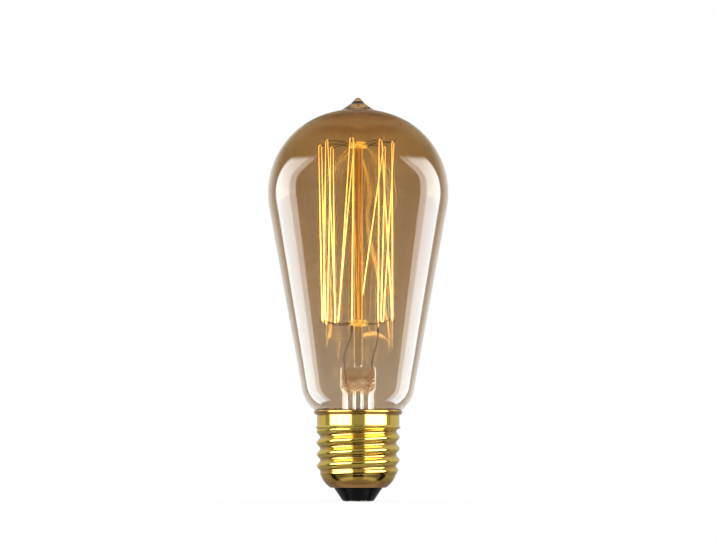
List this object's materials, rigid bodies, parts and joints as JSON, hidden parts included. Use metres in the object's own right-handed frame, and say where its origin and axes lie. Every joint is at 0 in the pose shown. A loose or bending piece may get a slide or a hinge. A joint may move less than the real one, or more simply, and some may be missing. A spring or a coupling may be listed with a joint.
{
  "type": "filament light bulb",
  "caption": "Tapered amber glass filament lamp with a squirrel-cage filament, a sealed glass tip and a brass screw cap.",
  "frame": {"origin": "middle of the centre contact's face, the lowest point of the screw cap", "axes": "+Z along the lamp from the cap to the glass tip; the pictured front faces -Y; +X is to the viewer's right"},
  "size_m": [0.0574, 0.0574, 0.1283],
  "materials": {
    "amber_glass": "clear, amber tinted, glossy",
    "stem_glass": "clear, glossy",
    "filament_carbon": "glowing, lit",
    "support_wire": "heat-darkened nickel wire",
    "copper_wire": "bare copper",
    "cap_brass": "rolled, bright",
    "black_insulator": "black vitrite, glossy",
    "contact_metal": "stamped, tinned",
    "solder": "dull solder",
    "cement": "matt basing cement"
  },
  "bodies": {
    "root": {"glass_envelope": "amber_glass", "stem_flare": "stem_glass", "exhaust_tube": "stem_glass", "arbor_rod": "stem_glass", "lower_bead": "stem_glass", "upper_bead": "stem_glass", "upper_hook_1": "support_wire", "upper_hook_2": "support_wire", "upper_hook_3": "support_wire", "upper_hook_4": "support_wire", "upper_hook_5": "support_wire", "upper_hook_6": "support_wire", "upper_hook_7": "support_wire", "upper_hook_8": "support_wire", "lower_hook_1": "support_wire", "lower_hook_2": "support_wire", "lower_hook_3": "support_wire", "lower_hook_4": "support_wire", "lower_hook_5": "support_wire", "lower_hook_6": "support_wire", "lower_hook_7": "support_wire", "filament": "filament_carbon", "inner_lead_left": "support_wire", "inner_lead_right": "support_wire", "seal_wire_left": "copper_wire", "seal_wire_right": "copper_wire", "outer_lead_left": "copper_wire", "outer_lead_right": "copper_wire", "basing_cement": "cement", "screw_shell": "cap_brass", "cap_insulator": "black_insulator", "centre_contact": "contact_metal", "contact_solder": "solder", "rim_solder": "solder"}
  },
  "joints": []
}
